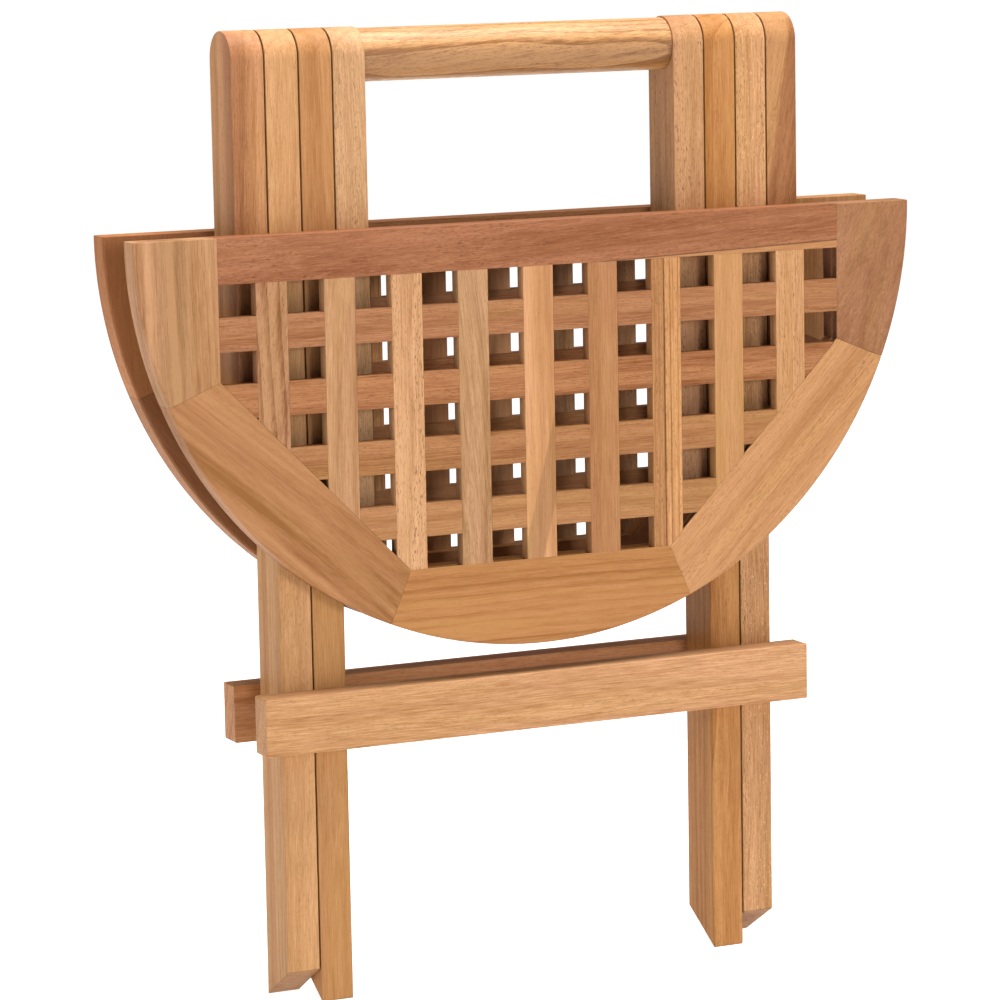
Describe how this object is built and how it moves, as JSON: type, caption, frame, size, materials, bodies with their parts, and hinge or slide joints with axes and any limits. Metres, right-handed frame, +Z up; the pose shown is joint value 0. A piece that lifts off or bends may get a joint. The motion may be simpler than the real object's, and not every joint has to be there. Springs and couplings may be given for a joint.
{
  "type": "folding tray table",
  "caption": "Folding picnic table in oiled teak: half-round lattice leaves hinge on battens over scissor legs, with a round carry handle and low stretchers.",
  "frame": {"origin": "on the floor under the middle of the folded table", "axes": "+Z up along the folded legs, +X along the carry handle to the right, front leaf towards -Y"},
  "size_m": [0.5, 0.067, 0.569],
  "materials": {
    "teak_pale": "sanded, lightly oiled teak",
    "teak_gold": "sanded, lightly oiled teak",
    "teak_red": "sanded, lightly oiled teak",
    "beech": "plain turned dowel",
    "steel": "plain stainless steel"
  },
  "bodies": {
    "front_leaf": {"front_leaf_cross_slat_1": "teak_red", "front_leaf_cross_slat_2": "teak_red", "front_leaf_cross_slat_3": "teak_red", "front_leaf_cross_slat_4": "teak_red", "front_leaf_dowels": "beech", "front_leaf_hinge_pins": "steel", "front_leaf_left_block": "teak_gold", "front_leaf_left_diagonal": "teak_gold", "front_leaf_outer_rim": "teak_gold", "front_leaf_rail": "teak_red", "front_leaf_right_block": "teak_gold", "front_leaf_right_diagonal": "teak_gold", "front_leaf_screws": "steel", "front_leaf_slat_1": "teak_pale", "front_leaf_slat_2": "teak_pale", "front_leaf_slat_3": "teak_pale", "front_leaf_slat_4": "teak_pale", "front_leaf_slat_5": "teak_pale", "front_leaf_slat_6": "teak_pale", "front_leaf_slat_7": "teak_pale", "front_leaf_slat_8": "teak_pale", "front_leaf_slat_9": "teak_pale", "handle": "teak_gold", "left_inner_batten": "teak_gold", "right_inner_batten": "teak_gold"},
    "inner_leg_frame": {"front_stretcher": "teak_pale", "front_stretcher_dowels": "beech", "inner_leg_washers": "steel", "left_inner_leg": "teak_pale", "right_inner_leg": "teak_pale"},
    "rear_leaf": {"left_outer_batten": "teak_red", "rear_leaf_cross_slat_1": "teak_red", "rear_leaf_cross_slat_2": "teak_red", "rear_leaf_cross_slat_3": "teak_red", "rear_leaf_cross_slat_4": "teak_red", "rear_leaf_dowels": "beech", "rear_leaf_hinge_pins": "steel", "rear_leaf_left_block": "teak_gold", "rear_leaf_left_diagonal": "teak_gold", "rear_leaf_outer_rim": "teak_gold", "rear_leaf_rail": "teak_red", "rear_leaf_right_block": "teak_gold", "rear_leaf_right_diagonal": "teak_gold", "rear_leaf_screws": "steel", "rear_leaf_slat_1": "teak_pale", "rear_leaf_slat_2": "teak_pale", "rear_leaf_slat_3": "teak_pale", "rear_leaf_slat_4": "teak_pale", "rear_leaf_slat_5": "teak_pale", "rear_leaf_slat_6": "teak_pale", "rear_leaf_slat_7": "teak_pale", "rear_leaf_slat_8": "teak_pale", "rear_leaf_slat_9": "teak_pale", "right_outer_batten": "teak_red"},
    "outer_leg_frame": {"left_outer_leg": "teak_pale", "leg_cross_pins": "steel", "outer_leg_washers": "steel", "rear_stretcher": "teak_pale", "rear_stretcher_dowels": "beech", "right_outer_leg": "teak_pale"}
  },
  "joints": [
    {"name": "leg_spread", "type": "hinge", "parent": "outer_leg_frame", "child": "inner_leg_frame", "pos_m": [0, 0, 0.36125], "axis": [-1, 0, 0], "range_deg": [0, 25]},
    {"name": "front_leaf_swing", "type": "hinge", "parent": "inner_leg_frame", "child": "front_leaf", "pos_m": [0, 0, 0.5525], "axis": [-1, 0, 0], "range_deg": [0, 77.5]},
    {"name": "rear_leaf_swing", "type": "hinge", "parent": "outer_leg_frame", "child": "rear_leaf", "pos_m": [0, 0, 0.5525], "axis": [1, 0, 0], "range_deg": [0, 77.5]}
  ],
  "couplings": [
    {"joint": "front_leaf_swing", "follows": "leg_spread", "ratio": 3.1},
    {"joint": "rear_leaf_swing", "follows": "leg_spread", "ratio": 3.1}
  ]
}
